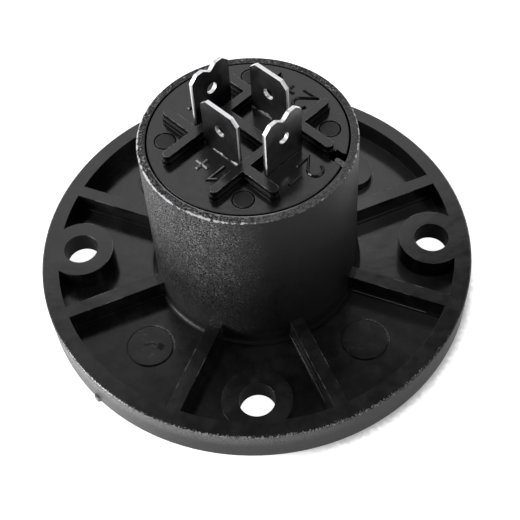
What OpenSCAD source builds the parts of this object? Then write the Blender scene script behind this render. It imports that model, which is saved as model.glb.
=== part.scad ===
// Round-flange, four-pole panel socket for loudspeaker leads, in millimetres.
// The flat front face lies on Z = 0, and the barrel rises along +Z to the push-on tabs.
// The fixing holes lie on X and Y. The contact carrier is turned from them about Z.

/* [Flange] */
// Diameter of the round flange
flange_d = 52; // [50:0.5:60]
// Height of the rim, ribs and bosses above the front face
flange_h = 4.75; // [4:0.05:8]
// Thickness of the plate between the ribs
plate_t = 2; // [2:0.1:3]
// Radial width of the raised rim
rim_w = 2; // [1:0.1:3]
// Bevel on the flange's front edge
front_bevel = 0.4; // [0.1:0.05:0.8]
// Bevel on the rim's outer top edge
rim_bevel = 0.2; // [0.05:0.05:0.5]

/* [Ribs] */
// Number of radial ribs, set midway between the holes
rib_count = 8; // [4:4:16]
// Width of a rib
rib_w = 1.6; // [1:0.1:3]
// Width of the step along each side of a rib's foot
rib_step_w = 0.2; // [0.1:0.05:0.5]
// Height of that step above the plate
rib_step_h = 0.5; // [0.2:0.05:1]

/* [Fixing holes] */
// Number of fixing holes
hole_count = 4; // [2:1:6]
// Distance from the flange's edge to a hole's centre
hole_inset = 4.65; // [4.3:0.05:6]
// Diameter of a fixing hole
hole_d = 4.1; // [3:0.1:5]
// Diameter of the boss round a hole
boss_d = 7.9; // [6.5:0.1:8.5]
// Diameter of the countersink at the front face
sink_d = 8; // [6:0.1:8]

/* [Ejector pads] */
// Number of pads on the plate, set midway between the holes
pad_count = 4; // [2:1:6]
// Distance from the flange's edge to a pad's centre
pad_inset = 8.3; // [7:0.1:9]
// Diameter of a pad
pad_d = 5.3; // [3:0.1:6]
// Height of a pad above the plate
pad_h = 0.15; // [0.1:0.05:0.5]
// Height of the first pad, where the pin stood lower in the mould
tall_pad_h = 1.1; // [0.1:0.05:2]
// Width of the moat that a pin's edge leaves round a pad
moat_w = 0.15; // [0.1:0.05:0.3]
// Depth of that moat
moat_depth = 0.1; // [0.05:0.05:0.2]

/* [Gate] */
// Angle of the moulding gate on the flange's edge
gate_angle = 225; // [0:1:359]
// Half the width of the gate's stub where it is rooted, as far in from the edge
gate_root = 1.2; // [0.5:0.1:3]
// Half the width of the stub's broken end
gate_tip = 0.25; // [0.1:0.05:0.5]
// Height of the gate's stub
gate_h = 0.8; // [0.4:0.1:1.8]
// How far the stub stands out from the edge
gate_out = 0.3; // [0.1:0.05:0.8]

/* [Barrel] */
// Outer diameter at the wiring end
barrel_d = 23.8; // [22:0.1:27]
// Growth of the outer radius from the wiring end to the flange
barrel_draft = 0.3; // [0:0.05:0.6]
// Height of the wiring end above the front face
barrel_h = 24.05; // [22:0.05:32]
// Wall at the wiring end
barrel_wall = 0.9; // [0.7:0.05:1.2]
// Fillet between the barrel and the plate
barrel_fillet = 0.5; // [0.2:0.05:1]
// Bevel on the wiring end's outer edge
barrel_bevel = 0.15; // [0.05:0.05:0.3]

/* [Socket] */
// Width of the ledge that the carrier sits on
ledge_w = 0.8; // [0.6:0.05:1]
// Bevel at the socket's mouth
mouth_bevel = 0.6; // [0.2:0.05:0.8]
// Width of the wide keyway
wide_key_w = 5.2; // [4:0.1:7]
// Width of the narrow keyway
narrow_key_w = 3.6; // [2.5:0.1:4]
// Depth of the keyways and lock grooves
key_depth = 0.9; // [0.5:0.05:1]
// Length of the keyways from the front face
key_len = 13.5; // [9:0.1:15]
// Height of the lock grooves at the keyways' ends
lock_h = 4; // [2:0.1:6]
// Turn of the lock grooves from the keyways
lock_angle = 50; // [30:1:70]
// Width of the catch notch in the socket's mouth
catch_w = 3.2; // [2:0.1:4]
// Length of the catch notch from the front face
catch_len = 5; // [3:0.1:7]

/* [Carrier] */
// Turn of the carrier from the fixing holes
carrier_turn = 45; // [0:1:90]
// Thickness of the carrier's disc
carrier_t = 5.75; // [5:0.05:7]
// Radial clearance between the disc and the barrel
carrier_clear = 0.15; // [0.05:0.01:0.3]
// Bevel on the disc's outer edge
carrier_bevel = 0.1; // [0.05:0.01:0.2]
// Height of the snap ridge round the disc
snap_h = 0.2; // [0.15:0.01:0.3]
// Distance of the snap ridge below the wiring end
snap_drop = 3.5; // [2:0.1:4.5]
// Diameter of the core inside the socket
core_d = 11.2; // [10:0.1:12]
// Distance of the core's nose behind the front face
core_inset = 1; // [0.5:0.1:3]
// Bevel on the core's nose
core_bevel = 0.6; // [0.2:0.1:1]

/* [Carrier ribs] */
// Height of the ribs on the wiring face
face_rib_h = 1.25; // [0.7:0.05:2]
// Width of the step along the foot of those ribs
face_step_w = 0.15; // [0.05:0.05:0.2]
// Height of that step above the wiring end
face_step_h = 0.6; // [0.2:0.05:0.7]
// Width of the two long ribs
long_rib_w = 1; // [0.6:0.05:1.4]
// Distance from the disc's edge to the long ribs' ends at their middle line
long_rib_inset = 2.15; // [1.5:0.05:3]
// Room between a long rib and the edge of a plus tab
long_rib_room = 0.4; // [0.3:0.05:1]
// Width of the four short ribs
short_rib_w = 1.1; // [0.6:0.05:1.4]
// Distance from the disc's edge to the short ribs' ends, measured across the disc's middle
short_rib_inset = 2.45; // [2:0.05:3.5]
// Room between a short rib and the edge of a minus tab
short_rib_room = 0.95; // [0.5:0.05:1.4]
// Width of the middle rib
mid_rib_w = 1.1; // [0.6:0.05:1.4]
// Angle of an ejector mark from the long ribs' direction
mark_angle = 42; // [38:0.5:48]
// Diameter of an ejector mark, inside its moat
mark_d = 2.1; // [1.2:0.1:2.4]
// Distance from the disc's edge to a mark's centre
mark_inset = 2.05; // [1.8:0.05:2.4]

/* [Key finger] */
// Width of the finger inside the barrel
finger_w = 0.65; // [0.5:0.05:1.2]
// Height of the finger, down from the wiring end
finger_h = 3; // [1:0.1:4.5]
// Distance of the finger from the carrier's middle line
finger_off = 3.8; // [3:0.05:4.5]
// Distance of the finger's tip inside the bore's radius
finger_depth = 1.9; // [1.6:0.05:2.2]
// Clearance between the finger and the near side of its notch
finger_clear = 0.08; // [0.05:0.01:0.2]
// Room between the finger and the far side of its notch
notch_room = 0.78; // [0.1:0.01:1]
// Room between the finger's tip and the notch's floor
notch_floor_room = 0.7; // [0.1:0.05:0.9]
// Rounding of the notch's outer corner
notch_round = 0.6; // [0.2:0.05:0.8]

/* [Tabs] */
// Width of a push-on tab
tab_w = 5.2; // [4.2:0.1:5.6]
// Thickness of the contact strip
tab_t = 0.45; // [0.3:0.05:0.8]
// Height of a tab above the wiring end
tab_h = 6.6; // [5:0.1:9]
// Width of the bevel at a tab's top corners
tab_bevel_w = 0.8; // [0.2:0.05:1]
// Height of the bevel at a tab's top corners
tab_bevel_h = 0.75; // [0.3:0.05:1.5]
// Diameter of the hole in a tab
tab_hole_d = 1.35; // [1:0.05:2]
// Distance of the hole's centre below the tab's top
tab_hole_drop = 3; // [2.4:0.05:4]
// Room between the middle rib and a plus tab
plus_room = 2.8; // [1.5:0.05:3]
// Room between a long rib and a minus tab
minus_room = 1.05; // [0.4:0.05:1.4]
// Depth of the notch in a minus tab's top
tab_notch_depth = 0.65; // [0.4:0.05:1]
// Slope of the notch's sides
tab_notch_slope = 40; // [35:1:55]
// Rounding of the notch's bottom
tab_notch_round = 0.3; // [0.1:0.05:0.4]
// Rounding of the humps beside the notch
tab_hump_round = 0.5; // [0.1:0.05:0.8]

/* [Blades] */
// Width of a blade inside the socket
blade_w = 3; // [2:0.1:4]
// Depth of a blade's middle plane under the core's side
blade_inset = 0.5; // [0.4:0.05:0.8]
// Distance of a blade's end behind the core's nose
blade_nose = 2; // [1.2:0.1:4]
// Bevel on a blade's end
blade_bevel = 0.3; // [0.1:0.05:0.35]
// Depth of a tab's shoulders below the wiring end
shoulder_depth = 3; // [1:0.1:4.5]
// Distance of the strip's bend below the disc
bend_gap = 0.6; // [0.2:0.1:2]
// Height of the bend between a tab's plane and its blade's plane
bend_h = 2; // [1:0.1:4]
// Clearance round a contact in its slot
contact_clear = 0.05; // [0.02:0.01:0.1]

/* [Hidden] */
$fn = 96;
// Overshoot of a cut past the face that it opens
cut = 0.5;
arc_steps = 6;
flange_r = flange_d / 2;
hole_circle_r = flange_r - hole_inset;
pad_circle_r = flange_r - pad_inset;
sink_depth = (sink_d - hole_d) / 2;
barrel_r = barrel_d / 2;
barrel_foot_r = barrel_r + barrel_draft;
bore_r = barrel_r - barrel_wall;
socket_r = bore_r - ledge_w;
key_r = socket_r + key_depth;
ledge_z = barrel_h - carrier_t;
snap_z = barrel_h - snap_drop;
disc_r = bore_r - carrier_clear;
core_r = core_d / 2;
long_rib_y = tab_w / 2 + long_rib_room + long_rib_w / 2;
long_rib_end = disc_r - long_rib_inset;
short_rib_x = tab_w / 2 + short_rib_room + short_rib_w / 2;
short_rib_end = disc_r - short_rib_inset;
finger_tip = bore_r - finger_depth;
notch_near = finger_off - finger_w / 2 - finger_clear;
notch_far = finger_off + finger_w / 2 + notch_room;
notch_floor = finger_tip - notch_floor_room;
notch_corner_y = sqrt(disc_r * disc_r - notch_far * notch_far);
plus_off = mid_rib_w / 2 + plus_room + tab_t / 2;
minus_off = long_rib_y + long_rib_w / 2 + minus_room + tab_t / 2;
blade_off = core_r - blade_inset;
tab_top = barrel_h + tab_h;
seat_z = barrel_h - shoulder_depth;
bend_top = ledge_z - bend_gap;
bend_low = bend_top - bend_h;
blade_end = core_inset + blade_nose;
tab_notch_half = tab_notch_round * sin(tab_notch_slope)
    + (tab_notch_depth - tab_notch_round * (1 - cos(tab_notch_slope))) / tan(tab_notch_slope);
tab_hump_off = tab_notch_half + tab_hump_round * tan(tab_notch_slope / 2);

// Points of an arc from angle a to angle b
function arc(centre, r, a, b) =
    [for (i = [0:arc_steps])
        let (t = a + (b - a) * i / arc_steps)
        centre + r * [cos(t), sin(t)]];

// Copies of the children on a ring, from the first angle on
module ring(count, r, first = 0) {
    for (i = [0:count - 1])
        rotate(first + i * 360 / count)
            translate([r, 0, 0])
                children();
}

// Moat that the edge of an ejector pin leaves, cut down from Z = 0
module pin_moat(d) {
    translate([0, 0, -moat_depth])
        cylinder(d = d + 2 * moat_w, h = moat_depth + cut);
}

// Bar along X with a round end, from the origin to its length
module round_bar(length, width, height) {
    translate([0, -width / 2, 0])
        cube([length - width / 2, width, height]);
    translate([length - width / 2, 0, 0])
        cylinder(d = width, h = height);
}

// Half section of the flange and the barrel, before the socket is cut
module shell_section() {
    fillet_centre = [barrel_foot_r + barrel_fillet, plate_t + barrel_fillet];
    polygon(concat(
        [
            [0, 0],
            [flange_r - front_bevel, 0],
            [flange_r, front_bevel],
            [flange_r, flange_h - rim_bevel],
            [flange_r - rim_bevel, flange_h],
            [flange_r - rim_w, flange_h],
            [flange_r - rim_w, plate_t]
        ],
        arc(fillet_centre, barrel_fillet, 270, 180),
        [
            [barrel_r, barrel_h - barrel_bevel],
            [barrel_r - barrel_bevel, barrel_h],
            [0, barrel_h]
        ]));
}

// Radial rib from the barrel to the rim, with a low step along its foot
module flange_rib() {
    length = flange_r - rim_w / 2;
    step_width = rib_w + 2 * rib_step_w;
    translate([0, -rib_w / 2, 0])
        cube([length, rib_w, flange_h]);
    translate([0, -step_width / 2, 0])
        cube([length, step_width, plate_t + rib_step_h]);
}

// Stub that the broken gate leaves on the flange's edge
module gate_stub() {
    rotate(gate_angle)
        translate([flange_r, 0, front_bevel])
            linear_extrude(gate_h)
                polygon([
                    [-gate_root, -gate_root],
                    [gate_out, -gate_tip],
                    [gate_out, gate_tip],
                    [-gate_root, gate_root]
                ]);
}

module fixing_hole() {
    translate([0, 0, -cut])
        cylinder(d = hole_d, h = flange_h + 2 * cut);
    translate([0, 0, -cut])
        cylinder(r1 = sink_d / 2 + cut, r2 = hole_d / 2, h = sink_depth + cut);
}

// Slab that opens the socket's wall to the keyways' depth
module wall_slot(width, length) {
    intersection() {
        translate([0, 0, -cut])
            cylinder(r = key_r, h = length + cut);
        translate([0, -width / 2, -2 * cut])
            cube([key_r + cut, width, length + 3 * cut]);
    }
}

// Keyway with the lock groove that turns away from its inner end
module keyway(width) {
    wall_slot(width, key_len);
    rotate_extrude(angle = lock_angle)
        translate([socket_r - cut, key_len - lock_h])
            square([key_depth + cut, lock_h]);
}

// Everything that is cut out of the housing from the front
module socket_bore() {
    translate([0, 0, -cut])
        cylinder(r = socket_r, h = ledge_z + 2 * cut);
    translate([0, 0, -cut])
        cylinder(r1 = socket_r + mouth_bevel + cut, r2 = socket_r, h = mouth_bevel + cut);
    keyway(wide_key_w);
    rotate(180)
        keyway(narrow_key_w);
    rotate(90)
        wall_slot(catch_w, catch_len);
}

// Snap ridge or its groove, standing out from the radius r
module snap_section(r) {
    polygon([
        [r - cut, snap_z - snap_h - cut],
        [r + snap_h, snap_z],
        [r - cut, snap_z + snap_h + cut]
    ]);
}

// Seat of the carrier, cut from the wiring end
module carrier_seat() {
    translate([0, 0, ledge_z])
        cylinder(r = bore_r, h = carrier_t + cut);
    rotate_extrude()
        snap_section(bore_r);
}

// Finger on the bore's wall that keys the carrier
module key_finger() {
    translate([0, 0, barrel_h - finger_h])
        intersection() {
            cylinder(r = bore_r + barrel_wall / 2, h = finger_h);
            translate([finger_off, -finger_tip, 0])
                union() {
                    translate([0, -finger_w / 2, 0])
                        cylinder(d = finger_w, h = finger_h);
                    translate([-finger_w / 2, -finger_depth - finger_w, 0])
                        cube([finger_w, finger_depth + finger_w / 2, finger_h]);
                }
        }
}

module housing() {
    color("#202022") {
        difference() {
            union() {
                rotate_extrude()
                    shell_section();
                ring(rib_count, 0, 180 / rib_count)
                    flange_rib();
                ring(hole_count, hole_circle_r)
                    cylinder(d = boss_d, h = flange_h);
                gate_stub();
            }
            ring(hole_count, hole_circle_r)
                fixing_hole();
            ring(pad_count, pad_circle_r, 180 / hole_count)
                translate([0, 0, plate_t])
                    pin_moat(pad_d);
            socket_bore();
            carrier_seat();
        }
        translate([0, 0, plate_t / 2]) {
            ring(pad_count, pad_circle_r, 180 / hole_count)
                cylinder(d = pad_d, h = plate_t / 2 + pad_h);
            rotate(180 / hole_count)
                translate([pad_circle_r, 0, 0])
                    cylinder(d = pad_d, h = plate_t / 2 + tall_pad_h);
        }
        rotate(carrier_turn)
            key_finger();
    }
}

// Half section of the carrier's core and disc
module carrier_section() {
    polygon([
        [0, core_inset],
        [core_r - core_bevel, core_inset],
        [core_r, core_inset + core_bevel],
        [core_r, ledge_z],
        [disc_r, ledge_z],
        [disc_r, barrel_h - carrier_bevel],
        [disc_r - carrier_bevel, barrel_h],
        [0, barrel_h]
    ]);
    snap_section(disc_r);
}

// Ribs that part the tabs, up to a height above the wiring end and grown all round
module face_ribs(rise, grow = 0) {
    height = carrier_t + rise;
    mid_width = mid_rib_w + 2 * grow;
    translate([0, 0, ledge_z]) {
        for (side = [-1, 1], end = [0, 180]) {
            translate([0, side * long_rib_y, 0])
                rotate(end)
                    round_bar(long_rib_end + grow, long_rib_w + 2 * grow, height);
            translate([side * short_rib_x, 0, 0])
                rotate(end + 90)
                    translate([long_rib_y, 0, 0])
                        round_bar(short_rib_end - long_rib_y + grow, short_rib_w + 2 * grow, height);
        }
        translate([-mid_width / 2, -long_rib_y, 0])
            cube([mid_width, 2 * long_rib_y, height]);
    }
}

// Notch in the disc's edge for the key finger, with one rounded outer corner
module key_notch() {
    corner_y = notch_round - notch_corner_y;
    depth = finger_h + finger_clear;
    translate([0, 0, barrel_h - depth])
        linear_extrude(depth + cut) {
            translate([notch_near, -disc_r - cut])
                square([notch_far - notch_near, disc_r + cut - notch_floor]);
            difference() {
                translate([notch_far - cut, corner_y - notch_round - cut])
                    square([notch_round + cut, notch_round + cut]);
                translate([notch_far + notch_round, corner_y])
                    circle(r = notch_round);
            }
        }
}

// Slot through the disc and groove in the core for one strip, which lies towards +X
module contact_slot(off) {
    inner = tab_t / 2 + contact_clear;
    upper_w = tab_w + 2 * contact_clear;
    lower_w = blade_w + 2 * contact_clear;
    translate([off - inner, -upper_w / 2, seat_z])
        cube([2 * inner, upper_w, shoulder_depth + cut]);
    translate([off - inner, -lower_w / 2, ledge_z - cut])
        cube([2 * inner, lower_w, carrier_t]);
    translate([0, lower_w / 2, 0])
        rotate([90, 0, 0])
            linear_extrude(lower_w)
                polygon([
                    [off - inner, ledge_z],
                    [off - inner, bend_top],
                    [blade_off - inner, bend_low],
                    [blade_off - inner, blade_end - contact_clear],
                    [core_r + cut, blade_end - contact_clear],
                    [core_r + cut, ledge_z]
                ]);
}

// Copies of the children at the ejector marks, which lie at the wiring end
module at_marks() {
    for (end = [0, 180], side = [-1, 1])
        rotate(end + side * mark_angle)
            translate([disc_r - mark_inset, 0, barrel_h])
                children();
}

module contact_carrier() {
    color("#18181a")
        rotate(carrier_turn) {
            difference() {
                union() {
                    rotate_extrude()
                        carrier_section();
                    face_ribs(face_rib_h);
                    face_ribs(face_step_h, face_step_w);
                }
                key_notch();
                at_marks()
                    pin_moat(mark_d);
                for (end = [0, 180]) {
                    rotate(end)
                        contact_slot(plus_off);
                    rotate(end + 90)
                        contact_slot(minus_off);
                }
            }
            at_marks()
                translate([0, 0, -mark_d])
                    cylinder(d = mark_d, h = mark_d);
        }
}

// Outline of a tab and the neck below its shoulders
module tab_outline(notched) {
    half = tab_w / 2;
    neck = blade_w / 2;
    hump_z = tab_top - tab_hump_round;
    notch_centre = [0, tab_top - tab_notch_depth + tab_notch_round];
    notch = concat(
        arc([tab_hump_off, hump_z], tab_hump_round, 90, 90 + tab_notch_slope),
        arc(notch_centre, tab_notch_round, 270 + tab_notch_slope, 270 - tab_notch_slope),
        arc([-tab_hump_off, hump_z], tab_hump_round, 90 - tab_notch_slope, 90));
    polygon(concat(
        [
            [-neck, bend_top],
            [neck, bend_top],
            [neck, seat_z],
            [half, seat_z],
            [half, tab_top - tab_bevel_h],
            [half - tab_bevel_w, tab_top]
        ],
        notched ? notch : [],
        [
            [tab_bevel_w - half, tab_top],
            [-half, tab_top - tab_bevel_h],
            [-half, seat_z],
            [-neck, seat_z]
        ]));
}

// Stamped strip that lies towards +X: push-on tab, neck, bend and blade
module contact(off, notched) {
    half = tab_t / 2;
    difference() {
        translate([off - half, 0, 0])
            rotate([90, 0, 90])
                linear_extrude(tab_t)
                    tab_outline(notched);
        translate([off - tab_t, 0, tab_top - tab_hole_drop])
            rotate([0, 90, 0])
                cylinder(d = tab_hole_d, h = 2 * tab_t);
    }
    translate([0, blade_w / 2, 0])
        rotate([90, 0, 0])
            linear_extrude(blade_w)
                polygon([
                    [off - half, bend_top],
                    [blade_off - half, bend_low],
                    [blade_off - half, blade_end],
                    [blade_off + half - blade_bevel, blade_end],
                    [blade_off + half, blade_end + blade_bevel],
                    [blade_off + half, bend_low],
                    [off + half, bend_top]
                ]);
}

module contact_2_plus() {
    color("#c9c7c0")
        rotate(carrier_turn)
            contact(plus_off, false);
}

module contact_1_minus() {
    color("#c9c7c0")
        rotate(carrier_turn + 90)
            contact(minus_off, true);
}

module contact_1_plus() {
    color("#c9c7c0")
        rotate(carrier_turn + 180)
            contact(plus_off, false);
}

module contact_2_minus() {
    color("#c9c7c0")
        rotate(carrier_turn + 270)
            contact(minus_off, true);
}

housing();
contact_carrier();
contact_1_plus();
contact_1_minus();
contact_2_plus();
contact_2_minus();
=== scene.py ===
import math

import bpy
from mathutils import Matrix, Vector

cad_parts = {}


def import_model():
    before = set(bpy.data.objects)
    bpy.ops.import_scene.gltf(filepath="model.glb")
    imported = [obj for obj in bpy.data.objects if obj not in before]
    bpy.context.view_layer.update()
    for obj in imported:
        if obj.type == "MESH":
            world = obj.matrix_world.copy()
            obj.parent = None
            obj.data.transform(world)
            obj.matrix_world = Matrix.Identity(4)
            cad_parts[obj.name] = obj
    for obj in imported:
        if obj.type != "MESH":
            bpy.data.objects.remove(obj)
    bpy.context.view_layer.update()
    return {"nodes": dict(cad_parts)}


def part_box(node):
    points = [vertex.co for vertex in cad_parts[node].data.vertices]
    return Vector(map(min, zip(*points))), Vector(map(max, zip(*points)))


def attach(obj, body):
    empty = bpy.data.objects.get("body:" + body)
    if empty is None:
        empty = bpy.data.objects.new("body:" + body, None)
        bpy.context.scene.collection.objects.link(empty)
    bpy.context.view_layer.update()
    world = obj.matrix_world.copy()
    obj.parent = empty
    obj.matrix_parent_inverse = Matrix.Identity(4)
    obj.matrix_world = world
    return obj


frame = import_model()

MM = 0.001
BODY = "root"
UP = (0.0, 0.0, 1.0)
WHITE = (1.0, 1.0, 1.0, 1.0)

# Camera, fitted to the photograph: place, turn and focal length on a 36 mm sensor
CAMERA_AT = Vector((3.79, -73.9, 104.28)) * MM
CAMERA_YAW = math.radians(-2.62)
CAMERA_PITCH = math.radians(54.34)
CAMERA_ROLL = math.radians(-3.99)
CAMERA_LENS = 70.5
SENSOR = 36.0
CLIP_NEAR = 0.005
CLIP_FAR = 20

# Main sizes, from the frame where it states them
housing_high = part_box("housing")[1]
FLANGE_R = housing_high.x
BARREL_TOP = housing_high.z
FACE_Z = BARREL_TOP
RIM_TOP = 4.75 * MM
BARREL_R = 11.9 * MM
BORE_R = 11.0 * MM
CARRIER_TURN = math.radians(45)

# Round ejector pads on the plate: radius, circle on which they lie, and place in a quarter
PAD_R = 2.65 * MM
PAD_CIRCLE_R = 17.7 * MM
PAD_OFF = PAD_CIRCLE_R * math.cos(math.radians(45))
# Round ejector marks on the wiring face: radius, circle and turn in a quarter, and place there
PIN_MARK_R = 1.05 * MM
PIN_CIRCLE_R = 8.8 * MM
PIN_TURN = math.radians(42)
PIN_MARK_X = PIN_CIRCLE_R * math.cos(PIN_TURN)
PIN_MARK_Y = PIN_CIRCLE_R * math.sin(PIN_TURN)
# Share of the radius of a pad or mark at which it has faded in
SPOT_FULL = 0.97

# Distance of a tab's middle plane from the axis
PLUS_OFF = 3.575 * MM
MINUS_OFF = 5.275 * MM

# Terminal marks on the wiring face, in millimetres: half a stroke's width, and its rise
MARK_HALF = 0.18
MARK_RISE = 0.26
# Section of a stroke from its foot to its crown: share of its half width, and share of its rise
MARK_SECTION = ((1.0, -0.1), (1.0, 0.35), (0.4, 0.8), (0.15, 0.9))
# Glyphs, in millimetres from their middle: corners of the one, bow and foot of the two, arm of a sign
ONE_CORNERS = ((-0.6, 0.55), (0, 1.1), (0, -1.1))
TWO_BOW_R = 0.8
TWO_BOW_Y = 0.45
TWO_BOW_TURNS = range(165, -36, -25)
TWO_FOOT = ((-0.85, -1.25), (0.85, -1.25))
SIGN_ARM = 0.7

# Rounding, wear and painted highlights of sharp edges: radius of the rounding, reach of the wear and
# highlights, and rays that find them
EDGE_ROUND = 0.06 * MM
EDGE_REACH = 0.16 * MM
EDGE_RAYS = 6
# Inset of the middle of a rounded edge from its corner: the barrel's end, the rim, and the rim's painted
# shade
BARREL_EDGE_IN = 0.07 * MM
RIM_EDGE_IN = 0.1 * MM
RIM_SHADE_IN = 0.05 * MM
# Fade of the wear and painted shade along an edge at its end, as soft limits past its reach in millimetres
EDGE_FADE = (0.03, -0.03)

# Soft limits on the housing in millimetres, each a pair from none to full, by height
PLATE_LOW = (1.2, 1.4)
PLATE_HIGH = (2.4, 2.1)
FILLET_LOW = (1.9, 2.0)
FILLET_HIGH = (4.0, 3.0)
BARREL_LOW = (2.1, 2.4)
FOOT_HIGH = (4.0, 2.8)
PITS_LOW = (4.0, 9.0)
STEP_LOW = (2.3, 2.4)
STEP_HIGH = (2.8, 2.7)
RIB_LOW = (2.9, 3.1)
BAND_LIT_LOW = (2.4, 4.2)
# Heights between which the barrel's texture grows coarser, and is painted lighter towards the top
COARSE_FROM = 8 * MM
COARSE_TO = 24 * MM
# By depth below the barrel's end
RING_DEPTH = (0.12, 0.03)
# By radius
BORE_OUTSIDE = (BORE_R / MM, BORE_R / MM + 0.1)
BARREL_INSIDE = (12.9, 12.7)
BARREL_OUTSIDE = (12.7, 12.9)
FILLET_IN = (12.1, 12.3)
FILLET_OUT = (13.2, 12.8)
RIB_CORNERS_IN = (14.5, 16.5)
PAINTED_LIGHT_OUT = (21.0, 15.0)
# By depth in from the flange's outer edge
STUB_DEPTH = (-0.05, -0.2)
BAND_DEPTH = (0.15, 0.05)
WALL_DEPTH = (1.0, 2.0)
STEP_DEPTH = (3.9, 4.1)
RIB_DEPTH = (4.2, 4.5)
# By distance past a pad's edge
PAD_MOAT_IN = (-0.02, 0.04)
PAD_MOAT_OUT = (0.3, 0.2)
# Gouge on a pad: limits of its dent, of half its tail's width and of the tail's ends, and its places
DENT_OUT = (0.5, 0.35)
TAIL_SIDE = (0.1, 0.05)
TAIL_LEFT = (-0.9, -0.7)
TAIL_RIGHT = (1.3, 1.2)
DENT_X = 1.2 * MM
DENT_Y = -0.2 * MM
TAIL_Y = 0.2 * MM

# On the wiring face, by height above it, by distance past a round mark's edge, and in from the bore
LOW_RIB = (0.35, 0.3)
RIB_CROWN = (0.9, 1.0)
MARK_CROWN = (0.19, 0.22)
PIN_MOAT_IN = (0.0, 0.03)
PIN_MOAT_OUT = (0.2, 0.15)
GROOVE_DEPTH = (0.25, 0.19)
# On a contact, by distance past its middle plane, and by height above the wiring face
TORN_IN = (-0.03, 0.05)
GLINT_FOOT_HIGH = (0.4, 0.32)

# Stretches round the axis: middle and half width in degrees, with 0 at the right and 270 at the front
TEXTURE_LIT_LEFT = (198, 86)
TEXTURE_BACK = (110, 110)
PITS_LEFT = (222, 70)
FOOT_LEFT = (228, 50)
FILLET_UNSHADED = (218, 44)
LINE_LEFT = (200, 92)
LINE_RIGHT = (10, 50)
LINE_BACK = (85, 70)
LIP_FRONT = (250, 55)
RING_FRONT = (275, 80)
FLAKES_FRONT = (265, 75)
BAND_LEFT = (244, 56)
BAND_RIGHT = (295, 60)
RIM_SHADE_BACK = (90, 180)
WALLS_RIGHT = (15, 70)
DUST_SHEEN_RIGHT = (25, 72)
PAINTED_LIGHT_BACK = (45, 60)
FRONT_BOSS = (270, 24)
FRONT_LEFT_PAD = (225, 60)
FRONT_RIGHT_PAD = (315, 60)
MARKS_LEFT = (215, 75)
HOLE_LEFT = (180, 60)
SHADOW_RIGHT = (326, 62)
DIM_FRONT = (292, 70)

# Floor: half its width, how far under the object it lies, and its colour
FLOOR_HALF = 3.0
FLOOR_GAP = 0.02 * MM
FLOOR_COLOUR = (0.8, 0.8, 0.8, 1.0)
# Soft limits on the floor in millimetres past the flange's edge: its shadow, and what lies round it
SHADOW_OUT = (2.0, 0.2)
SHOWN_AROUND = (-2.0, -1.0)
MIRRORED_AROUND = (-1.0, 0.0)

LAMP_DISTANCE = 0.6
# Lamps: name, turn about Z and rise in degrees, width and height in metres, and brightness
LAMPS = (
    ("sky", 97.5, 37.3, 0.92, 0.39, 1.2),
    ("ceiling", 122, 58, 0.45, 0.12, 0.42),
    ("sky_edge", 79, 53.4, 0.08, 0.035, 0.8),
    ("side", 195, 16, 0.4, 0.34, 9.0),
    ("left", 183, 52, 0.5, 0.3, 1.0),
    ("right", 335, 42, 0.4, 0.34, 1.4),
)

# Contacts: name, turn of its faces about Z, distance from the axis, whether its foot has a painted glint
# where scraped, and a painted brightness for the light on it
CONTACTS = (
    ("1_plus", CARRIER_TURN, PLUS_OFF, True, 0.7),
    ("2_plus", CARRIER_TURN, PLUS_OFF, True, 1.5),
    ("1_minus", -CARRIER_TURN, MINUS_OFF, False, 1.0),
    ("2_minus", -CARRIER_TURN, MINUS_OFF, False, 1.0),
)


def camera():
    """Camera at the photograph's place."""
    yaw, pitch, roll = CAMERA_YAW, CAMERA_PITCH, CAMERA_ROLL
    ahead = Vector((
        math.sin(yaw) * math.cos(pitch),
        math.cos(yaw) * math.cos(pitch),
        -math.sin(pitch),
    ))
    level = Vector((math.cos(yaw), -math.sin(yaw), 0))
    rise = level.cross(ahead)
    right = math.cos(roll) * level + math.sin(roll) * rise
    up = -math.sin(roll) * level + math.cos(roll) * rise
    data = bpy.data.cameras.new("camera")
    data.lens = CAMERA_LENS
    data.sensor_width = SENSOR
    data.clip_start = CLIP_NEAR
    data.clip_end = CLIP_FAR
    made = bpy.data.objects.new("camera", data)
    turn = Matrix((right, up, -ahead)).transposed().to_4x4()
    made.matrix_world = Matrix.Translation(CAMERA_AT) @ turn
    bpy.context.scene.collection.objects.link(made)
    bpy.context.scene.camera = made


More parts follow.
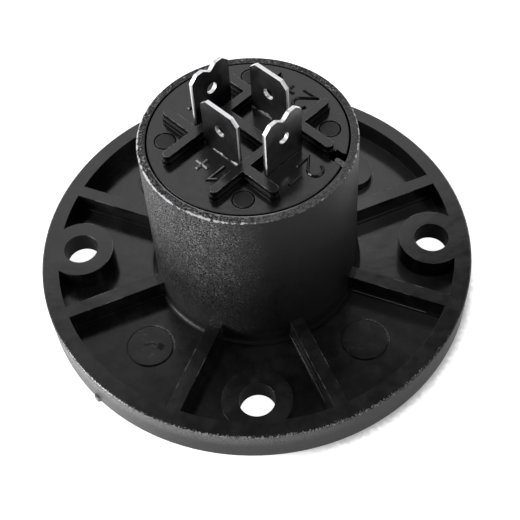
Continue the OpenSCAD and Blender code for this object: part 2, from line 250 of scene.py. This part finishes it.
class Nodes:
    """Short calls for building one node tree."""

    # Sockets of a mix node, by number: factor, first and second value, and then the result
    MIX_SOCKETS = {"RGBA": ((0, 6, 7), 2), "FLOAT": ((0, 2, 3), 0)}

    def __init__(self, tree):
        self.tree = tree
        tree.nodes.clear()

    def add(self, kind, settings=None, **inputs):
        """Node with its settings, and with its inputs by name, _ standing for a space."""
        made = self.tree.nodes.new(kind)
        for name, value in (settings or {}).items():
            setattr(made, name, value)
        for name, value in inputs.items():
            self.put(made.inputs[name.replace("_", " ")], value)
        return made

    def put(self, socket, value):
        """Links a socket to an output, or sets its own value."""
        if isinstance(value, bpy.types.NodeSocket):
            self.tree.links.new(value, socket)
        else:
            socket.default_value = value

    def math(self, operation, *values):
        made = self.add("ShaderNodeMath", {"operation": operation})
        for socket, value in zip(made.inputs, values):
            self.put(socket, value)
        return made.outputs[0]

    def chain(self, operation, values):
        """One operation over several values, from the first to the last."""
        result = values[0]
        for value in values[1:]:
            result = self.math(operation, result, value)
        return result

    def times(self, *values):
        return self.chain("MULTIPLY", values)

    def plus(self, *values):
        return self.chain("ADD", values)

    def most(self, *values):
        return self.chain("MAXIMUM", values)

    def minus(self, first, second):
        return self.math("SUBTRACT", first, second)

    def absolute(self, value):
        return self.math("ABSOLUTE", value)

    def distance(self, x, y):
        """Length of the line to a place."""
        return self.math("SQRT", self.plus(self.times(x, x), self.times(y, y)))

    def angle(self, x, y):
        """Turn about Z from the right to a place."""
        return self.math("ARCTAN2", y, x)

    def dot(self, first, second):
        made = self.add("ShaderNodeVectorMath", {"operation": "DOT_PRODUCT"})
        self.put(made.inputs[0], first)
        self.put(made.inputs[1], second)
        return made.outputs["Value"]

    def ramp(self, value, low, high, out_low=0.0, out_high=1.0):
        """Smooth step of a value between low and high."""
        made = self.add("ShaderNodeMapRange", {"interpolation_type": "SMOOTHSTEP"})
        for socket, number in zip(made.inputs, (value, low, high, out_low, out_high)):
            self.put(socket, number)
        return made.outputs[0]

    def fade(self, value, *limits):
        """One where a value is within all its soft limits, each a pair in millimetres from none to full."""
        return self.times(*[self.ramp(value, none * MM, full * MM) for none, full in limits])

    def noise(self, place, size, detail=2.0, rough=0.5):
        """Noise whose features are about the given size in millimetres."""
        scale = 1 / (size * MM)
        made = self.add("ShaderNodeTexNoise", Vector=place, Scale=scale, Detail=detail, Roughness=rough)
        return made.outputs["Fac"]

    def mix(self, factor, first, second, kind="RGBA"):
        """Colour between two colours, or with the kind FLOAT a number between two numbers."""
        inputs, output = self.MIX_SOCKETS[kind]
        made = self.add("ShaderNodeMix", {"data_type": kind})
        for i, value in zip(inputs, (factor, first, second)):
            self.put(made.inputs[i], value)
        return made.outputs[output]

    def lay_over(self, colour, layers):
        """Colours laid one over another, each as far as its mask says."""
        for mask, over in layers:
            colour = self.mix(mask, colour, over)
        return colour

    def place(self):
        """Object coordinates."""
        return self.add("ShaderNodeTexCoord").outputs["Object"]

    def split(self, place):
        """The x, y and z of a place."""
        return self.add("ShaderNodeSeparateXYZ", Vector=place).outputs

    def normal(self):
        """Direction that the surface faces."""
        return self.add("ShaderNodeNewGeometry").outputs["Normal"]

    def level(self):
        """One on faces that lie level, zero on upright ones."""
        return self.absolute(self.dot(self.normal(), UP))


def grey(value):
    """Grey with a trace of blue."""
    return (value, value, value * 1.02, 1.0)


def new_material(name):
    made = bpy.data.materials.new(name)
    made.use_nodes = True
    return made, Nodes(made.node_tree)


def sector(net, angle, stretch):
    """One round the middle of a stretch about Z, fading to zero at its ends."""
    middle, half = stretch
    lean = net.math("COSINE", net.minus(angle, math.radians(middle)))
    return net.ramp(lean, math.cos(math.radians(half)), math.cos(math.radians(half * 0.5)))


def four_spots(net, place, off_x, off_y):
    """Place across, along and out from the nearest of four spots, set alike in the four quarters."""
    x, y = net.split(place)[:2]
    across = net.minus(x, net.times(net.math("SIGN", x), off_x))
    along = net.minus(y, net.times(net.math("SIGN", y), off_y))
    return across, along, net.distance(across, along)


def sharp_corners(net, spread):
    """One where the spread is high along sharp outer edges, which rays sent into the solid find."""
    settings = {"inside": True, "only_local": True, "samples": EDGE_RAYS}
    rays = net.add("ShaderNodeAmbientOcclusion", settings, Distance=EDGE_REACH)
    return net.times(net.ramp(rays.outputs["AO"], 0.85, 0.6), spread)


def bumped(net, height, strength, depth, **normal):
    """Normal with a bump of a depth in millimetres, on the surface's own normal or a given one."""
    made = net.add("ShaderNodeBump", Strength=strength, Distance=depth * MM, Height=height, **normal)
    return made.outputs["Normal"]


def moulded_normal(net, height, strength, depth):
    """Normal of a moulded surface: edges slightly rounded, with a bump on top."""
    soft = net.add("ShaderNodeBevel", {"samples": EDGE_RAYS}, Radius=EDGE_ROUND)
    return bumped(net, height, strength, depth, Normal=soft.outputs[0])


def principled(net, colour, rough, normal, metallic=0.0):
    """Closes a material with one shader."""
    shader = net.add(
        "ShaderNodeBsdfPrincipled",
        Base_Color=colour,
        Roughness=rough,
        Metallic=metallic,
        Normal=normal,
    )
    net.add("ShaderNodeOutputMaterial", Surface=shader.outputs["BSDF"])


class HousingFinish:
    """The housing's black plastic: satin flange, spark-textured barrel and band, wear, dust, painted light
    and painted shade.
    """

    def __init__(self, net):
        self.net = net
        self.place = net.place()
        x, y, self.z = net.split(self.place)
        self.radius = net.distance(x, y)
        self.angle = net.angle(x, y)
        self.depth = net.minus(FLANGE_R, self.radius)
        self.level = net.level()
        self.make_noises()
        self.make_zones()
        self.make_texture()
        self.make_barrel_edge()
        self.make_rim_edge()
        self.make_corners()
        self.make_shade()
        self.make_dust_and_light()
        self.make_pad_marks()

    def side(self, stretch):
        """One in a stretch round the axis."""
        return sector(self.net, self.angle, stretch)

    def edge(self, radius, z, reach):
        """One along a round edge, as far from it as reach says at each spot."""
        net = self.net
        apart = net.distance(net.minus(self.radius, radius), net.minus(self.z, z))
        return net.fade(net.minus(apart, reach), EDGE_FADE)

    def make_noises(self):
        """Noises from broad clouds down to the finest grain."""
        net = self.net
        self.cloud = net.noise(self.place, 4.0, 3.0)
        self.patch = net.noise(self.place, 1.4, 3.0)
        self.teeth = net.noise(self.place, 0.45, 2.0, 0.6)
        self.grain = net.noise(self.place, 0.2, 4.0, 0.85)
        self.chip = net.noise(self.place, 0.18, 3.0, 0.65)
        self.fine = net.noise(self.place, 0.17, 2.0, 0.7)

    def make_zones(self):
        """Plate and pads, the barrel's wall, foot and end, the flange's band and the gate's stub."""
        net = self.net
        self.on_plate = net.fade(self.z, PLATE_LOW, PLATE_HIGH)
        self.across, self.along, self.apart = four_spots(net, self.place, PAD_OFF, PAD_OFF)
        self.pads = net.times(net.ramp(self.apart, PAD_R, PAD_R * SPOT_FULL), self.on_plate)
        wall = net.fade(self.radius, BORE_OUTSIDE, BARREL_INSIDE)
        self.on_barrel = net.times(wall, net.fade(self.z, BARREL_LOW))
        self.on_foot = net.times(wall, net.fade(self.z, FOOT_HIGH))
        self.on_ring = net.fade(net.minus(BARREL_TOP, self.z), RING_DEPTH)
        self.on_band = net.fade(self.depth, BAND_DEPTH)
        self.on_stub = net.fade(self.depth, STUB_DEPTH)

    def make_texture(self):
        """Spark texture of the barrel and the band, coarser at the left and back and painted lighter there,
        with painted glints, and pits painted dark as their shade.
        """
        net = self.net
        self.spark = net.most(self.on_barrel, self.on_band)
        rough_and_lit_side = net.most(self.side(TEXTURE_LIT_LEFT), self.side(TEXTURE_BACK))
        self.coarse = net.times(rough_and_lit_side, net.ramp(self.z, COARSE_FROM, COARSE_TO, 0.15, 1.1))
        high = net.times(net.ramp(self.fine, 0.57, 0.67), net.ramp(self.patch, 0.36, 0.62))
        self.glint_specks = net.times(high, self.coarse, self.spark)
        low = net.times(net.ramp(self.fine, 0.47, 0.4), net.fade(self.z, PITS_LOW))
        self.pits = net.times(low, rough_and_lit_side, self.spark)

    def make_barrel_edge(self):
        """Bright line round the barrel's end, broken at the back, its worn rounding, and the bore's lip."""
        net = self.net
        edge = (BARREL_R - BARREL_EDGE_IN, BARREL_TOP - BARREL_EDGE_IN)
        held = net.plus(
            self.teeth,
            net.times(self.side(LINE_LEFT), 0.24),
            net.times(self.side(LINE_RIGHT), 0.14),
            net.times(self.side(LINE_BACK), -0.2),
        )
        self.line = self.edge(*edge, net.ramp(held, 0.46, 0.95, -0.06 * MM, 0.2 * MM))
        reach = net.times(self.grain, net.ramp(self.teeth, 0.38, 0.56, 0.02 * MM, 0.2 * MM))
        self.rounded = self.edge(*edge, reach)
        self.lip = self.edge(BORE_R, BARREL_TOP, net.times(self.grain, 0.14 * MM))

    def make_rim_edge(self):
        """Pale flakes along the rim's edge, more of them in front, and painted shade along its back half.
        """
        net = self.net
        flaked = net.plus(self.chip, net.times(self.side(FLAKES_FRONT), 0.12))
        reach = net.ramp(flaked, 0.52, 0.85, -0.05 * MM, 0.32 * MM)
        self.flakes = self.edge(FLANGE_R - RIM_EDGE_IN, RIM_TOP - RIM_EDGE_IN, reach)
        reach = net.times(self.teeth, 0.3 * MM)
        rim_shade = self.edge(FLANGE_R - RIM_SHADE_IN, RIM_TOP - RIM_SHADE_IN, reach)
        self.rim_shade = net.times(rim_shade, self.side(RIM_SHADE_BACK))

    def make_corners(self):
        """Pale rubbed corners of the ribs, partly painted highlights, and painted highlights on the steps
        at their feet at the front right.
        """
        net = self.net
        worn = net.times(net.ramp(self.patch, 0.45, 0.6), net.ramp(self.chip, 0.35, 0.55))
        on_ribs = net.times(net.fade(self.z, RIB_LOW), net.fade(self.depth, RIB_DEPTH))
        off_boss = net.minus(1.0, self.side(FRONT_BOSS))
        rubbed = sharp_corners(net, worn)
        self.rubbed = net.times(rubbed, on_ribs, off_boss, net.fade(self.radius, RIB_CORNERS_IN))
        on_step = net.times(net.fade(self.z, STEP_LOW, STEP_HIGH), net.fade(self.depth, STEP_DEPTH))
        worn = net.times(on_step, self.side(FRONT_RIGHT_PAD), net.ramp(self.chip, 0.25, 0.45))
        self.step_highlight = sharp_corners(net, worn)

    def make_shade(self):
        """Painted shade: darker upright walls at the right, and a darker fillet at the barrel's foot,
        except at the left.
        """
        net = self.net
        upright = net.ramp(self.level, 0.5, 0.2)
        between = net.times(net.fade(self.radius, BARREL_OUTSIDE), net.fade(self.depth, WALL_DEPTH))
        self.walls = net.times(upright, self.side(WALLS_RIGHT), between)
        across = net.fade(self.radius, FILLET_IN, FILLET_OUT)
        along = net.fade(self.z, FILLET_LOW, FILLET_HIGH)
        self.fillet = net.times(across, along, net.minus(1.0, self.side(FILLET_UNSHADED)))

    def make_dust_and_light(self):
        """Pale dust and painted sheen on the plate at the right, and painted light on all level faces near
        the barrel's back.
        """
        net = self.net
        patchy = net.ramp(self.cloud, 0.2, 0.6, 0.6, 1.0)
        self.dust_and_sheen = net.times(self.on_plate, self.side(DUST_SHEEN_RIGHT), patchy)
        near = net.times(self.side(PAINTED_LIGHT_BACK), net.fade(self.radius, PAINTED_LIGHT_OUT, BARREL_OUTSIDE))
        lying = net.times(net.ramp(self.level, 0.8, 0.95), net.ramp(self.cloud, 0.2, 0.6, 0.5, 1.0))
        self.painted_light_back = net.times(near, lying)

    def make_pad_marks(self):
        """Glints on the far side of the groove round each pad, fine scratches, and a gouge on one pad."""
        net = self.net
        moat = net.fade(net.minus(self.apart, PAD_R), PAD_MOAT_IN, PAD_MOAT_OUT)
        far_side = net.ramp(net.plus(self.across, net.times(self.along, 0.8)), 0.75 * PAD_R, 1.15 * PAD_R)
        self.glints = net.times(moat, far_side, net.ramp(self.chip, 0.4, 0.55), self.on_plate)
        drawn = net.add("ShaderNodeMapping", Vector=self.place, Rotation=(0, 0, 0.4), Scale=(0.12, 1, 1))
        lines = net.noise(drawn.outputs["Vector"], 0.14, 1.0)
        self.scratches = net.times(net.ramp(lines, 0.66, 0.72), net.ramp(self.patch, 0.48, 0.6), self.pads)
        self.gouge = net.times(self.gouge_shape(), self.pads, self.side(FRONT_LEFT_PAD))

    def gouge_shape(self):
        """Ragged dent with a thin bent tail."""
        net = self.net
        apart = net.distance(net.minus(self.across, DENT_X), net.minus(self.along, DENT_Y))
        ragged = net.plus(apart, net.times(net.minus(self.chip, 0.5), 1.6 * MM))
        dent = net.fade(ragged, DENT_OUT)
        bend = net.plus(self.along, net.times(net.minus(self.teeth, 0.5), 0.8 * MM))
        tail = net.fade(net.absolute(net.minus(bend, TAIL_Y)), TAIL_SIDE)
        return net.most(dent, net.times(tail, net.fade(self.across, TAIL_LEFT, TAIL_RIGHT)))

    def barrel_colour(self):
        net = self.net
        # Painted light: lighter where the texture is coarse, at the left and back and towards the top
        dim = net.mix(self.coarse, grey(0.004), grey(0.02))
        bright = net.mix(self.coarse, grey(0.015), grey(0.19))
        return net.mix(net.ramp(self.grain, 0.38, 0.62), dim, bright)

    def ring_colour(self):
        net = self.net
        bright = net.mix(self.side(RING_FRONT), grey(0.08), grey(0.15))
        return net.mix(net.ramp(self.fine, 0.42, 0.6), grey(0.015), bright)

    def band_colour(self):
        net = self.net
        # Painted light and shade: the mask worn paints the band pale at its upper left, where light falls,
        # and the band is darker at the front right
        worn = net.times(self.side(BAND_LEFT), net.fade(self.z, BAND_LIT_LOW))
        bright = net.mix(self.side(BAND_RIGHT), grey(0.08), grey(0.05))
        bright = net.mix(worn, bright, grey(0.28))
        return net.mix(net.ramp(self.grain, 0.3, 0.7), grey(0.02), bright)

    def colour(self):
        """Blotched black, with all else laid over it."""
        net = self.net
        blotch = net.plus(net.times(self.cloud, 0.5), net.times(self.patch, 0.5))
        black = net.mix(net.ramp(blotch, 0.38, 0.62), grey(0.005), grey(0.017))
        return net.lay_over(black, (
            # Dust and painted sheen at the right, and painted light near the barrel's back
            (self.dust_and_sheen, grey(0.045)),
            (self.painted_light_back, grey(0.07)),
            (self.on_barrel, self.barrel_colour()),
            (self.on_ring, self.ring_colour()),
            (self.on_band, self.band_colour()),
            (self.on_stub, grey(0.4)),
            # Rubbed corners, partly painted highlights, and painted highlights on the steps
            (net.times(self.rubbed, 0.8), grey(0.25)),
            (self.step_highlight, grey(0.25)),
            (self.glints, grey(0.3)),
            (self.scratches, grey(0.06)),
            (self.gouge, grey(0.003)),
            # Pits painted dark as their shade, and painted glints
            (self.pits, grey(0.004)),
            (self.glint_specks, grey(0.75)),
            # Painted shade at the barrel's foot
            (net.times(self.on_foot, 0.8), grey(0.004)),
            (self.flakes, grey(0.36)),
            # Painted shade along the rim's back edge
            (self.rim_shade, grey(0.003)),
            (self.rounded, grey(0.16)),
            (self.lip, net.mix(self.side(LIP_FRONT), grey(0.1), grey(0.6))),
            (self.line, grey(0.75)),
        ))

    def roughness(self):
        net = self.net
        foot = net.times(self.on_foot, net.ramp(self.side(FOOT_LEFT), 0.0, 1.0, 0.6, 0.15))
        satin = net.ramp(self.patch, 0.2, 0.8, 0.15, 0.21)
        textured = net.plus(net.times(self.spark, 0.2), net.times(self.pits, 0.5))
        return net.plus(satin, textured, foot, net.times(self.pads, 0.06))

    def painted_shade(self):
        """Share of the surface made dark metal, with no bright gloss: painted shade on the rim's back edge,
        the right walls, the front right pad, the pits and the barrel's fillet, and on a dark gouge.
        """
        net = self.net
        return net.most(
            net.times(self.rim_shade, 0.9),
            net.times(self.walls, 0.6),
            net.times(self.pads, self.side(FRONT_RIGHT_PAD), 0.3),
            net.times(self.pits, self.side(PITS_LEFT), 0.8),
            net.times(self.fillet, 0.5),
            net.times(self.gouge, 0.7),
        )

    def height(self):
        """Gentle swell of the smooth faces, and grain, deepest in the coarse texture."""
        net = self.net
        swell = net.times(self.cloud, net.ramp(self.spark, 0.0, 1.0, 1.6, 0.0))
        texture = net.times(self.spark, net.ramp(self.coarse, 0.0, 1.0, 1.2, 5.0))
        relief = net.plus(texture, net.times(self.pads, 0.15), 0.06)
        return net.plus(swell, net.times(self.grain, relief))


def housing_plastic():
    """Black moulded plastic of the flange and the barrel."""
    made, net = new_material("housing_plastic")
    skin = HousingFinish(net)
    normal = moulded_normal(net, skin.height(), 0.7, 0.04)
    principled(net, skin.colour(), skin.roughness(), normal, skin.painted_shade())
    return made


def pin_marks(net, place):
    """Round ejector marks on the wiring face, and the moats round them."""
    settings = {"rotation_type": "Z_AXIS"}
    turned = net.add("ShaderNodeVectorRotate", settings, Vector=place, Angle=-CARRIER_TURN)
    apart = four_spots(net, turned.outputs["Vector"], PIN_MARK_X, PIN_MARK_Y)[2]
    pins = net.ramp(apart, PIN_MARK_R, PIN_MARK_R * SPOT_FULL)
    return pins, net.fade(net.minus(apart, PIN_MARK_R), PIN_MOAT_IN, PIN_MOAT_OUT)


def carrier_plastic():
    """Black moulded plastic, smoother than the housing, with rubbed corners that are partly painted
    highlights, a little dust, and painted shade in the groove round the bore, round the pin marks and on
    upright walls.
    """
    made, net = new_material("carrier_plastic")
    place = net.place()
    x, y, z = net.split(place)
    cloud = net.noise(place, 3.0, 3.0)
    patch = net.noise(place, 0.9, 3.0)
    chip = net.noise(place, 0.25, 3.0, 0.6)
    grain = net.noise(place, 0.12, 2.0)
    dust = net.ramp(net.noise(place, 0.16, 0.0), 0.82, 0.88)
    pins, moats = pin_marks(net, place)
    # Painted shade: the groove round the bore, the moats round the pin marks and the upright walls are
    # darkened
    groove = net.fade(net.minus(BORE_R, net.distance(x, y)), GROOVE_DEPTH)
    groove_shade = net.most(groove, net.times(moats, 0.8))
    walls = net.ramp(net.level(), 0.5, 0.2)
    rise = net.minus(z, FACE_Z)
    off_step = net.most(net.fade(rise, LOW_RIB), net.fade(rise, RIB_CROWN))
    worn = net.times(net.ramp(patch, 0.4, 0.6), net.ramp(chip, 0.35, 0.55))
    rubbed = net.times(sharp_corners(net, worn), off_step)

    black = net.mix(net.ramp(cloud, 0.3, 0.7), grey(0.004), grey(0.01))
    colour = net.lay_over(black, ((rubbed, grey(0.2)), (dust, grey(0.12)), (groove_shade, grey(0.002))))
    rough = net.plus(net.ramp(patch, 0.25, 0.75, 0.15, 0.22), net.times(pins, 0.3), net.times(groove_shade, 0.7))
    height = net.plus(net.times(cloud, 2.0), net.times(grain, net.ramp(pins, 0.0, 1.0, 0.1, 1.0)))
    painted_shade = net.most(groove_shade, net.times(walls, 0.6))
    principled(net, colour, rough, moulded_normal(net, height, 0.6, 0.03), painted_shade)
    return made


def mark_plastic():
    """The carrier's plastic on the terminal marks, pale on the crowns and on the sides facing the back
    left, mostly at the left: rubbed wear and painted highlights.
    """
    made, net = new_material("mark_plastic")
    place = net.place()
    x, y, z = net.split(place)
    chip = net.noise(place, 0.2, 3.0, 0.6)
    back_left = math.radians(140)
    # Painted highlights on the sides facing the back left, most at the left, where light falls
    lit_slopes = net.ramp(net.dot(net.normal(), (math.cos(back_left), math.sin(back_left), 0.0)), 0.2, 0.5)
    crowns = net.fade(net.minus(z, FACE_Z), MARK_CROWN)
    left = net.ramp(sector(net, net.angle(x, y), MARKS_LEFT), 0.0, 1.0, 0.08, 1.0)
    pale = net.times(net.most(crowns, lit_slopes), net.ramp(chip, 0.3, 0.5), left)

    colour = net.mix(pale, grey(0.004), grey(0.3))
    rough = net.plus(net.ramp(chip, 0.3, 0.7, 0.15, 0.22), net.times(pale, 0.2))
    principled(net, colour, rough, bumped(net, chip, 0.3, 0.02))
    return made


def torn_half(net, place, ahead, off, shear):
    """One past a strip's ragged middle plane, on the half that lies further from the axis."""
    outward = net.minus(net.absolute(net.dot(place, ahead)), off)
    ragged = net.plus(outward, net.times(net.minus(shear, 0.5), 0.2 * MM))
    return net.fade(ragged, TORN_IN)


def scraped_glint_foot(net, place, mottle, shear):
    """Frayed line at the foot, where the strip was pressed through its slot, painted pale as a glint."""
    rise = net.minus(net.split(place)[2], FACE_Z)
    frayed = net.plus(rise, net.times(net.minus(mottle, 0.5), -MM), net.times(shear, 0.2 * MM))
    low = net.fade(frayed, GLINT_FOOT_HIGH)
    return net.times(low, net.ramp(mottle, 0.42, 0.5), net.ramp(shear, 0.3, 0.45))


def contact_metal(name, turn, off, scraped_glint, lit_tone):
    """Tin-plated brass strip: dull faces painted lighter or darker for the light on each strip, and sheared
    edges that are torn on their outer half.
    """
    made, net = new_material(name)
    ahead = (math.cos(turn), math.sin(turn), 0.0)
    place = net.place()
    stretched = net.add("ShaderNodeMapping", Vector=place, Scale=(1, 1, 0.12))
    streak = net.noise(stretched.outputs["Vector"], 0.12, 3.0)
    mottle = net.noise(place, 1.2, 1.0)
    shear = net.noise(place, 0.1, 2.0)
    edge = net.ramp(net.absolute(net.dot(net.normal(), ahead)), 0.9, 0.6)
    torn = net.times(edge, torn_half(net, place, ahead, off, shear))
    if scraped_glint:
        torn = net.most(torn, scraped_glint_foot(net, place, mottle, shear))

    # Painted light: the tin is made lighter or darker per contact, for the light that falls on it
    tin = net.mix(net.ramp(mottle, 0.3, 0.7), grey(0.19 * lit_tone), grey(0.24 * lit_tone))
    colour = net.lay_over(tin, ((edge, grey(0.8)), (torn, grey(0.95))))
    smooth = net.plus(net.ramp(mottle, 0.3, 0.7, 0.27, 0.3), net.times(streak, 0.03))
    rough = net.plus(smooth, net.times(edge, 0.05), net.times(torn, 0.15))
    dull = net.times(torn, net.ramp(net.level(), 0.3, 0.9, 0.9, 0.1))
    height = net.plus(net.times(streak, 0.04), net.times(shear, torn))
    principled(net, colour, rough, bumped(net, height, 0.3, 0.03), net.minus(1.0, dull))
    return made


def dress(name, material):
    """Gives a solid its material."""
    solid = frame["nodes"][name]
    solid.data.materials.clear()
    solid.data.materials.append(material)


def stroke(points, half):
    """Outline of a stroke along a line of points, half its width to each side and past both ends."""
    points = [Vector(point) for point in points]
    left, right = [], []
    last = len(points) - 1
    for i, point in enumerate(points):
        before = (point - points[max(i - 1, 0)]).normalized()
        after = (points[min(i + 1, last)] - point).normalized()
        ahead = (before + after).normalized()
        reach = half / max(ahead.dot(after if i < last else before), 0.5)
        across = Vector((-ahead.y, ahead.x)) * reach
        point = point + ahead * half * ((i == last) - (i == 0))
        left.append(point + across)
        right.append(point - across)
    return left + right[::-1]


def digit_one(half):
    return stroke(ONE_CORNERS, half)


def digit_two(half):
    turns = [math.radians(turn) for turn in TWO_BOW_TURNS]
    bow = [(TWO_BOW_R * math.cos(turn), TWO_BOW_Y + TWO_BOW_R * math.sin(turn)) for turn in turns]
    return stroke((*bow, *TWO_FOOT), half)


def sign_plus(half):
    tip = SIGN_ARM + half
    corner = (Vector((tip, -half)), Vector((tip, half)), Vector((half, half)))
    return [Matrix.Rotation(math.pi / 2 * i, 2) @ point for i in range(4) for point in corner]


def sign_minus(half):
    return stroke(((-SIGN_ARM, 0), (SIGN_ARM, 0)), half)


def glyph_rings(glyph, x, y, turn):
    """Rings of points up a raised glyph, which is turned about its own place on the wiring face."""
    to_face = Matrix.Rotation(turn, 2)
    to_part = Matrix.Rotation(CARRIER_TURN, 2)
    rings = []
    for share, rise in MARK_SECTION:
        ring = [to_part @ (to_face @ point + Vector((x, y))) for point in glyph(MARK_HALF * share)]
        rings.append([(point.x * MM, point.y * MM, FACE_Z + MARK_RISE * rise * MM) for point in ring])
    return rings


def skin_faces(start, count, rings):
    """Faces of a closed solid whose rings of points follow one another from a start."""
    faces = []
    top = start + count * (rings - 1)
    for low in range(start, top, count):
        for i in range(count):
            after = (i + 1) % count
            faces.append((low + i, low + after, low + count + after, low + count + i))
    faces.append([start + i for i in reversed(range(count))])
    faces.append([top + i for i in range(count)])
    return faces


def mark(name, turn, glyphs, material):
    """Raised terminal mark: glyphs at their places in the wiring face's own frame."""
    points, faces = [], []
    for glyph, x, y in glyphs:
        rings = glyph_rings(glyph, x, y, turn)
        faces += skin_faces(len(points), len(rings[0]), len(rings))
        points += [point for ring in rings for point in ring]
    mesh = bpy.data.meshes.new(name)
    mesh.from_pydata(points, [], faces)
    mesh.materials.append(material)
    made = bpy.data.objects.new(name, mesh)
    bpy.context.scene.collection.objects.link(made)
    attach(made, BODY)


def floor_cloth():
    """Pale cloth, white to the camera and in mirror images, but dim in front and through the holes."""
    made, net = new_material("floor")
    place = net.place()
    x, y = net.split(place)[:2]
    angle = net.angle(x, y)
    past_edge = net.minus(net.distance(x, y), FLANGE_R)
    path = net.add("ShaderNodeLightPath")

    # What the camera sees: a ragged shadow at the front right
    ragged = net.plus(past_edge, net.times(net.noise(place, 0.6, 3.0, 0.7), 1.2 * MM))
    shade = net.times(net.fade(ragged, SHADOW_OUT), sector(net, angle, SHADOW_RIGHT))
    outside = net.ramp(shade, 0.0, 1.0, 0.9, 0.25)
    shown = net.mix(net.fade(past_edge, SHOWN_AROUND), 1.0, outside, "FLOAT")
    # What the object mirrors
    around = net.mix(sector(net, angle, DIM_FRONT), 1.0, 0.25, "FLOAT")
    inside = net.mix(sector(net, angle, HOLE_LEFT), 0.05, 0.12, "FLOAT")
    mirrored = net.mix(net.fade(past_edge, MIRRORED_AROUND), inside, around, "FLOAT")
    mirrors = net.most(path.outputs["Is Glossy Ray"], path.outputs["Is Transmission Ray"])
    strength = net.plus(net.times(path.outputs["Is Camera Ray"], shown), net.times(mirrors, mirrored))

    glow = net.add("ShaderNodeEmission", Color=WHITE, Strength=strength)
    cloth = net.add("ShaderNodeBsdfDiffuse", Color=FLOOR_COLOUR)
    both = net.add("ShaderNodeAddShader")
    net.put(both.inputs[0], glow.outputs[0])
    net.put(both.inputs[1], cloth.outputs[0])
    net.add("ShaderNodeOutputMaterial", Surface=both.outputs[0])
    return made


def floor():
    """Floor that keeps the object's shadow."""
    mesh = bpy.data.meshes.new("floor")
    corners = [(-FLOOR_HALF, -FLOOR_HALF), (FLOOR_HALF, -FLOOR_HALF)]
    corners += [(FLOOR_HALF, FLOOR_HALF), (-FLOOR_HALF, FLOOR_HALF)]
    mesh.from_pydata([(x, y, -FLOOR_GAP) for x, y in corners], [], [(0, 1, 2, 3)])
    mesh.materials.append(floor_cloth())
    made = bpy.data.objects.new("floor", mesh)
    bpy.context.scene.collection.objects.link(made)


def softbox(name, turn, rise, wide, tall, glow):
    """Oval area lamp that looks at the object, with its brightness as a white surface would have it."""
    data = bpy.data.lights.new(name, "AREA")
    data.shape = "ELLIPSE"
    data.size = wide
    data.size_y = tall
    data.energy = glow * math.pi * (wide * tall * math.pi / 4)
    made = bpy.data.objects.new(name, data)
    turn, rise = math.radians(turn), math.radians(rise)
    out = Vector((math.cos(rise) * math.cos(turn), math.cos(rise) * math.sin(turn), math.sin(rise)))
    made.location = out * LAMP_DISTANCE
    made.rotation_euler = (-out).to_track_quat("-Z", "Y").to_euler()
    bpy.context.scene.collection.objects.link(made)


def world():
    """Dim surroundings, white where the camera sees them."""
    made = bpy.data.worlds.new("world")
    made.use_nodes = True
    bpy.context.scene.world = made
    net = Nodes(made.node_tree)
    path = net.add("ShaderNodeLightPath")
    colour = net.mix(path.outputs["Is Camera Ray"], grey(0.15), grey(1.0))
    back = net.add("ShaderNodeBackground", Color=colour)
    net.add("ShaderNodeOutputWorld", Surface=back.outputs[0])


# Terminal marks: name, turn on the face, and each glyph with its place on the face in millimetres
ASIDE, OVER = math.radians(90), math.radians(180)
MARKS = (
    ("mark_1_plus", ASIDE, ((digit_one, -6.03, -1.4), (sign_plus, -6.14, 0.57))),
    ("mark_2_plus", ASIDE, ((digit_two, 7.65, -0.95), (sign_plus, 7.75, 1.4))),
    ("mark_1_minus", OVER, ((digit_one, 1.2, 7.4), (sign_minus, -0.8, 7.4))),
    ("mark_2_minus", OVER, ((digit_two, 1.25, -8.2), (sign_minus, -1.2, -8.07))),
)

bpy.context.scene.view_settings.view_transform = "Standard"
camera()
dress("housing", housing_plastic())
dress("contact_carrier", carrier_plastic())
for ending, turn, off, scraped_glint, lit_tone in CONTACTS:
    dress(f"contact_{ending}", contact_metal(f"metal_{ending}", turn, off, scraped_glint, lit_tone))
raised = mark_plastic()
for name, turn, glyphs in MARKS:
    mark(name, turn, glyphs, raised)
floor()
world()
for lamp in LAMPS:
    softbox(*lamp)
